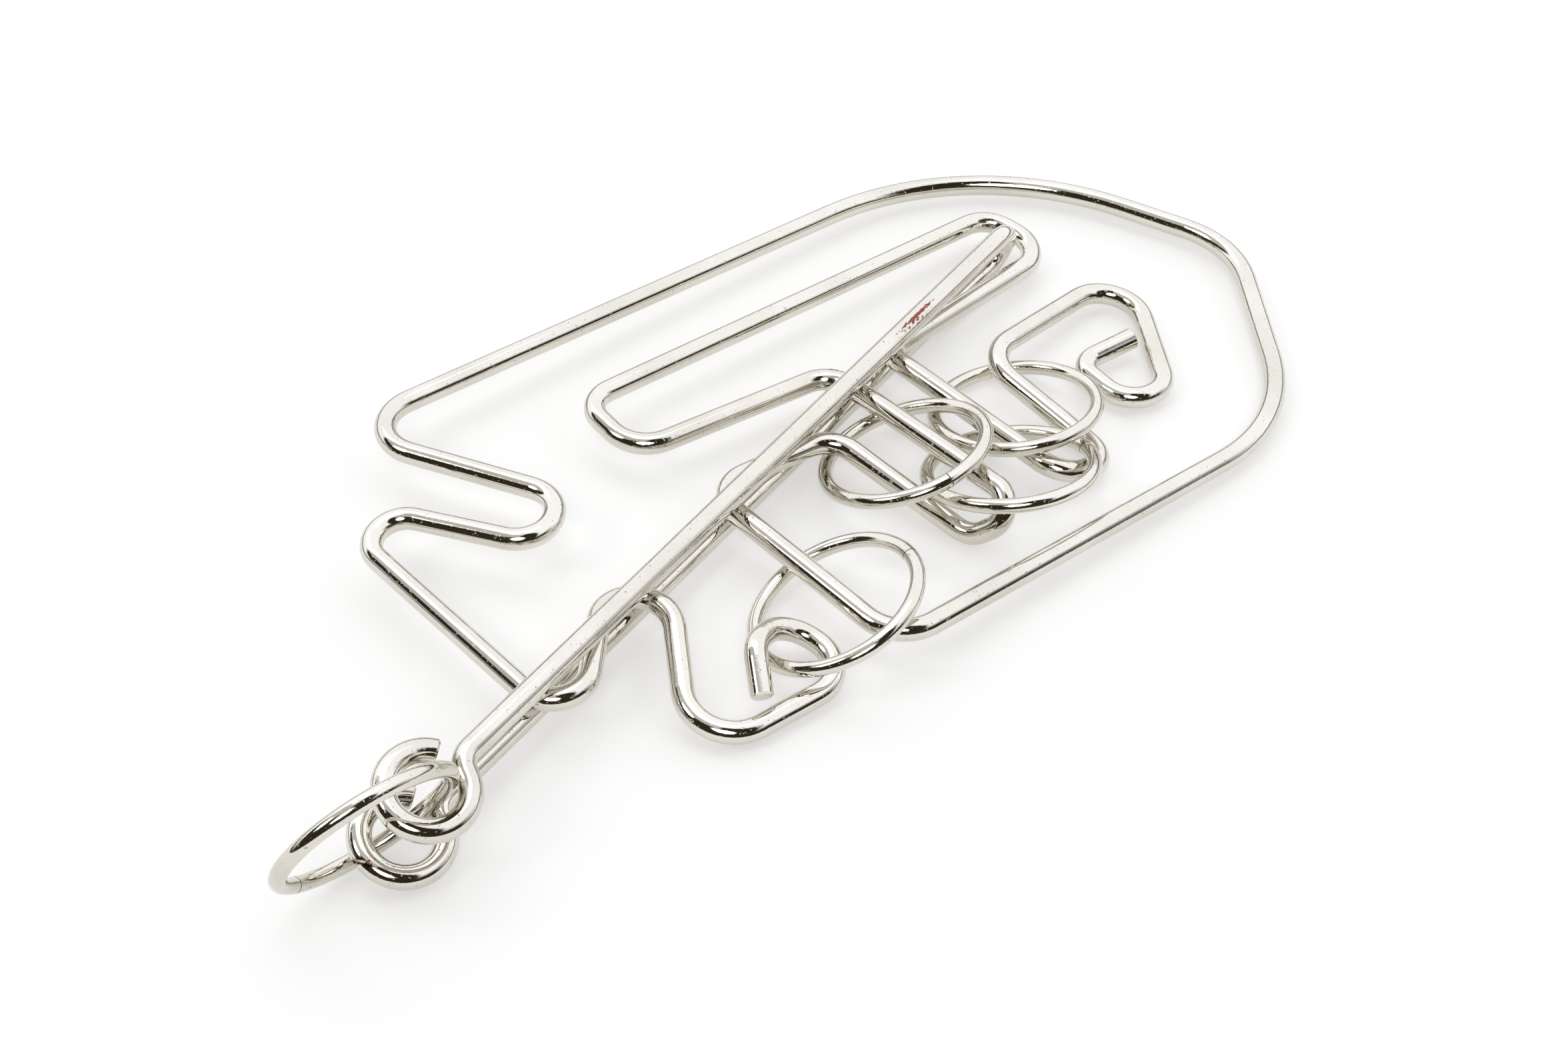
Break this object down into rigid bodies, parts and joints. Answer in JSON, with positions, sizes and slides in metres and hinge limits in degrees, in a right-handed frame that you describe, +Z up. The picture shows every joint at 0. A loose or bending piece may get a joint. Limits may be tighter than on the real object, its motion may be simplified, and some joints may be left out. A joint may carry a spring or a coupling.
{
  "type": "bent wire disentanglement puzzle",
  "caption": "Hand puzzle of bent plated wire: a looped frame with bow, fingers and hook, a sliding U shuttle with eyed ends, and captive wire rings.",
  "frame": {"origin": "middle of the bounding box, on the table it rests on", "axes": "+X along the shuttle towards its closed end, +Z up from the table, +Y towards the zigzag"},
  "size_m": [0.1694, 0.0969, 0.0227],
  "materials": {
    "frame_plating": "polished nickel plate, finely scuffed",
    "shuttle_plating": "polished nickel plate, scuffed, with a little rust",
    "ring_plating": "nickel plate, slightly duller, with drawing marks"
  },
  "bodies": {
    "frame": {"frame_wire": "frame_plating"},
    "shuttle": {"shuttle": "shuttle_plating"},
    "handle_ring": {"handle_ring": "ring_plating"},
    "hook_ring": {"hook_ring": "ring_plating"},
    "lower_finger_ring": {"lower_finger_ring": "ring_plating"},
    "link_ring": {"link_ring": "ring_plating"},
    "upper_finger_ring": {"upper_finger_ring": "ring_plating"}
  },
  "joints": [
    {"name": "shuttle_slide", "type": "slide", "parent": "frame", "child": "shuttle", "axis": [0.9999, 0.0079, -0.0139], "range_m": [-0.009, 0.001]},
    {"name": "handle_ring_swing", "type": "hinge", "parent": "shuttle", "child": "handle_ring", "pos_m": [-0.06461, -0.00076, 0.00642], "axis": [0.4308, -0.4628, 0.7747], "range_deg": [-85, 12]},
    {"name": "hook_ring_turn", "type": "hinge", "parent": "frame", "child": "hook_ring", "pos_m": [-0.01115, -0.0204, 0.0058], "axis": [-0.1564, 0.3938, 0.9058], "continuous": true},
    {"name": "lower_finger_ring_turn", "type": "hinge", "parent": "frame", "child": "lower_finger_ring", "pos_m": [0.01575, -0.0128, 0.0062], "axis": [0, 0.3746, 0.9272], "continuous": true},
    {"name": "link_ring_turn", "type": "hinge", "parent": "frame", "child": "link_ring", "pos_m": [0.02225, -0.0251, 0.0052], "axis": [0.1994, 0.2783, 0.9396], "continuous": true},
    {"name": "upper_finger_ring_turn", "type": "hinge", "parent": "frame", "child": "upper_finger_ring", "pos_m": [0.03355, -0.0189, 0.0041], "axis": [0.1132, 0.2404, 0.9641], "continuous": true}
  ]
}
